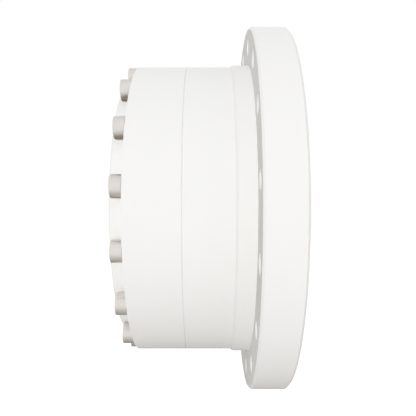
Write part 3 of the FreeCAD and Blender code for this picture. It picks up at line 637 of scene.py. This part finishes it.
def cap_screws(material):
    """Socket-head screws: a stepped profile carried round each screw's own axis.

    Its inner rings change from a circle to the hexagon of the key and end in a shallow cone. Each socket
    stands at its own seeded angle, and each screw is turned about the gear axis to its place.
    """
    seat_x = SCREW_TOP_X + SCREW_HEAD_HEIGHT
    socket_foot_x = SCREW_TOP_X + SOCKET_DEPTH
    corner = (SCREW_TOP_X + SCREW_HEAD_ROUNDING, SCREW_HEAD_RADIUS - SCREW_HEAD_ROUNDING)
    round_profile = np.concatenate([
        [(SCREW_TIP_X, SCREW_TIP_RING), (SCREW_TIP_X, SCREW_THREAD_RADIUS - SCREW_TIP_CHAMFER)],
        [(SCREW_TIP_X - SCREW_TIP_CHAMFER, SCREW_THREAD_RADIUS), (seat_x, SCREW_THREAD_RADIUS)],
        [(seat_x, SCREW_HEAD_RADIUS - SCREW_FOOT_CHAMFER), (seat_x - SCREW_FOOT_CHAMFER, SCREW_HEAD_RADIUS)],
        arc(corner, SCREW_HEAD_ROUNDING, 90, 180, HEAD_ROUNDING_POINTS),
        [(SCREW_TOP_X, SCREW_KEY / math.sqrt(3) + SOCKET_BEVEL)],
    ])
    angle = TURN * np.arange(SCREW_COLUMNS) / SCREW_COLUMNS
    hexagon = hexagon_radius(angle, SCREW_KEY)
    socket_x = [SCREW_TOP_X + SOCKET_BEVEL, socket_foot_x, socket_foot_x + SOCKET_CONE_DEPTH]
    socket_radius = np.stack([hexagon, hexagon, np.full(SCREW_COLUMNS, SOCKET_CONE_TIP)])
    round_radius = np.broadcast_to(round_profile[:, 1:], (len(round_profile), SCREW_COLUMNS))
    along = np.concatenate([round_profile[:, 0], socket_x])[:, None]
    radius = np.concatenate([round_radius, socket_radius])
    turns = np.random.default_rng(SOCKET_TURN_SEED).uniform(0.0, TURN / 6, HOLE_COUNT)
    upright = round_the_axis(along, radius, angle + turns[:, None, None]) + (0.0, 0.0, SCREW_CIRCLE)
    points = turned_about_axis(upright, HOLE_ANGLES[:, None, None])
    sides = grid_faces(len(along), SCREW_COLUMNS, rows_close=False)[:, ::-1]
    tip = np.arange(SCREW_COLUMNS)
    cone_tip = tip[::-1] + (len(along) - 1) * SCREW_COLUMNS
    ends = np.stack([tip, cone_tip])
    faces = [faces_of_copies(part, HOLE_COUNT, radius.size) for part in (sides, ends)]
    return new_piece("assembly_cap_screws", points, faces, material)


def output_hole_threads(material):
    """Screw threads of the output holes: a sleeve whose inner radius dips along a helix.

    The inner radius is the hole's, less the thread's depth times a triangle wave of
    x / pitch - angle / turn, which fades out at the mouth.
    """
    mouth_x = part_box("output_flange")[1].x
    start_x = mouth_x - THREAD_START
    length = OUTPUT_HOLE_DEPTH - THREAD_START - THREAD_END_GAP
    row_count = int(length / THREAD_PITCH * THREAD_ROWS_PER_PITCH)
    thread_x = start_x - np.linspace(0.0, length, row_count)[:, None]
    angle = TURN * np.arange(THREAD_COLUMNS) / THREAD_COLUMNS
    phase = np.mod(thread_x / THREAD_PITCH - angle / TURN, 1.0)
    ridge = 1 - np.abs(2 * phase - 1)
    fade = np.clip((start_x - thread_x) / THREAD_PITCH, 0.0, 1.0)
    inner = OUTPUT_HOLE_RADIUS - THREAD_PROUD_OF_WALL - THREAD_DEPTH * ridge * fade
    outer = np.full((2, THREAD_COLUMNS), OUTPUT_HOLE_RADIUS + THREAD_BEHIND_WALL)
    along = np.concatenate([thread_x, thread_x[[-1, 0]]])
    radius = np.concatenate([inner, outer])
    upright = round_the_axis(along, radius, angle) + (0.0, 0.0, OUTPUT_HOLE_CIRCLE)
    points = turned_about_axis(upright, HOLE_ANGLES[:, None, None])
    sleeve = grid_faces(len(along), THREAD_COLUMNS, rows_close=True)
    faces = [faces_of_copies(sleeve, HOLE_COUNT, radius.size)]
    return new_piece("output_hole_threads", points, faces, material)


def room():
    """Pale room: white to the camera, and in reflections darker from its side to behind the part.

    Its light on the part is even but for a rise with y times z, up and behind.
    """
    world = bpy.data.worlds.new("pale_room")
    bpy.context.scene.world = world
    tree = bare_tree(world)
    direction = tree.nodes.new("ShaderNodeTexCoord").outputs["Generated"]
    _, back, up = add_node(tree, "ShaderNodeSeparateXYZ", {0: direction}).outputs
    behind = math_node(tree, "MAXIMUM", back, 0.0)
    high = math_node(tree, "MAXIMUM", up, 0.0)
    high_behind = math_node(tree, "MULTIPLY", behind, high)
    light_on_part = math_node(tree, "MULTIPLY_ADD", high_behind, ROOM_HIGH_LIGHT, ROOM_LIGHT)
    mirrored_light = math_node(tree, "MULTIPLY_ADD", back, ROOM_MIRRORED_FALL, ROOM_MIRRORED)
    seen_light = between(tree, mirrored_ray(tree), 1.0, mirrored_light)
    strength = between(tree, seen_ray(tree), light_on_part, seen_light)
    light = add_node(tree, "ShaderNodeBackground", {"Color": WHITE, "Strength": strength})
    add_node(tree, "ShaderNodeOutputWorld", {0: light.outputs[0]})


def lamp():
    """Far lamp behind the camera: it reaches into the flange's holes and makes no bright spot on metal."""
    light = bpy.data.lights.new("camera_lamp", "SUN")
    light.energy = LAMP_LIGHT
    light.angle = LAMP_SPREAD
    made = new_object("camera_lamp", light)
    made.visible_glossy = False
    made.rotation_euler = (LEVEL_TILT - LAMP_HEIGHT_ANGLE, 0.0, -LAMP_SIDE_ANGLE)


def floor():
    """Pale floor below the part: it takes the part's shadow, and glows towards the camera up to white.

    In reflections the glow is weaker, and a band of the floor deepens backwards to dark brown. Scattered
    light meets the same brown from under the part to the right and backwards.
    """
    material = bpy.data.materials.new("pale_floor")
    tree = bare_tree(material)
    place = tree.nodes.new("ShaderNodeTexCoord").outputs["Object"]
    right, back, _ = add_node(tree, "ShaderNodeSeparateXYZ", {0: place}).outputs
    under_right = math_node(tree, "GREATER_THAN", right, DARK_FLOOR_LEFT)
    under_back = math_node(tree, "GREATER_THAN", back, DARK_FLOOR_FRONT)
    under = math_node(tree, "MULTIPLY", under_right, under_back)
    band = math_node(tree, "COMPARE", right, DARK_REFLECTION_X, DARK_REFLECTION_HALF_WIDTH)
    reflected = math_node(tree, "MULTIPLY", rise(tree, back, DARK_REFLECTION_EDGE), band)
    mirrored = mirrored_ray(tree)
    camera_ray = add_node(tree, "ShaderNodeLightPath").outputs["Is Camera Ray"]
    indirect = math_node(tree, "SUBTRACT", 1.0, camera_ray)
    dark = math_node(tree, "MULTIPLY", between(tree, mirrored, under, reflected), indirect)
    colour = colour_between(tree, dark, FLOOR_COLOUR, DARK_FLOOR_COLOUR)
    paint = add_node(tree, "ShaderNodeBsdfDiffuse", {"Color": colour})
    bright = math_node(tree, "MULTIPLY", seen_ray(tree), math_node(tree, "SUBTRACT", 1.0, dark))
    shine = between(tree, mirrored, FLOOR_GLOW, FLOOR_MIRRORED_GLOW)
    glow = add_node(tree, "ShaderNodeEmission", {"Strength": math_node(tree, "MULTIPLY", bright, shine)})
    both = add_node(tree, "ShaderNodeAddShader", {0: paint.outputs[0], 1: glow.outputs[0]})
    add_node(tree, "ShaderNodeOutputMaterial", {0: both.outputs[0]})
    half = FLOOR_SIZE / 2
    z = solid_box[0].z - FLOOR_DROP
    corners = [(-half, -half, z), (half, -half, z), (half, half, z), (-half, half, z)]
    mesh = bpy.data.meshes.new("floor")
    mesh.from_pydata(corners, [], [(0, 1, 2, 3)])
    mesh.materials.append(material)
    made = new_object("floor", mesh)


def camera():
    """Camera at the photograph's place: level, square to the gear axis."""
    lens = bpy.data.cameras.new("camera")
    lens.angle = CAMERA_ANGLE
    lens.clip_start = CAMERA_NEAREST
    made = new_object("camera", lens)
    made.location = CAMERA_PLACE
    made.rotation_euler = (LEVEL_TILT, 0.0, 0.0)
    bpy.context.scene.camera = made


def dress(finish, *names):
    """Gives CAD nodes their finish."""
    for name in names:
        for material_slot in nodes[name].material_slots:
            material_slot.material = finish


bpy.context.scene.view_settings.view_transform = "Standard"
camera()
room()
lamp()
floor()

screw_steel = turned_metal("zinc_screw_steel", dark=(0.735, 0.709, 0.678), light=(0.838, 0.812, 0.781),
                           roughness=(0.34, 0.44), pitch=0.3 * MM, depth=0.002 * MM)
face_steel = turned_metal("turned_steel", dark=(0.46, 0.46, 0.455), light=(0.58, 0.58, 0.575),
                          roughness=(0.24, 0.36), pitch=0.35 * MM, depth=0.004 * MM)
cam_steel = turned_metal("cam_steel", dark=(0.25, 0.25, 0.26), light=(0.35, 0.35, 0.36),
                         roughness=(0.26, 0.38), pitch=0.4 * MM, depth=0.004 * MM)
bronze = turned_metal("bronze", dark=(0.48, 0.32, 0.15), light=(0.60, 0.42, 0.21),
                      roughness=(0.26, 0.38), pitch=0.35 * MM, depth=0.004 * MM)
bearing_steel = ground_bearing_steel()
gear_steel = flexspline_steel()

dress(pale_coat(), "bearing_housing")
dress(pale_coat_with_bare_bore(), "circular_spline")
dress(face_steel, "output_flange", "inner_race_ring", "flexspline_clamp_ring", "input_hub")
dress(screw_steel, "assembly_screws", "race_ring_screws", "flexspline_screws")
dress(bearing_steel, "cross_rollers", "wave_bearing_balls")
dress(bearing_steel, "wave_bearing_outer_race", "wave_bearing_inner_race")
dress(gear_steel, "flexspline")
dress(cam_steel, "wave_generator_plug")
dress(bronze, "oldham_insert", "rub_washer")
dress(cage_resin(), "wave_bearing_cage")
dress(seal_rubber(), "housing_o_ring", "output_seal")
dress(black_spring_steel(), "snap_ring", "hub_set_screws")

cup = flexing_cup(gear_steel)
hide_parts("flexspline")
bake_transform(cup)

screws = cap_screws(screw_steel)
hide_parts("assembly_screws")
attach(screws, "housing")

threads = output_hole_threads(face_steel)
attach(threads, "output")
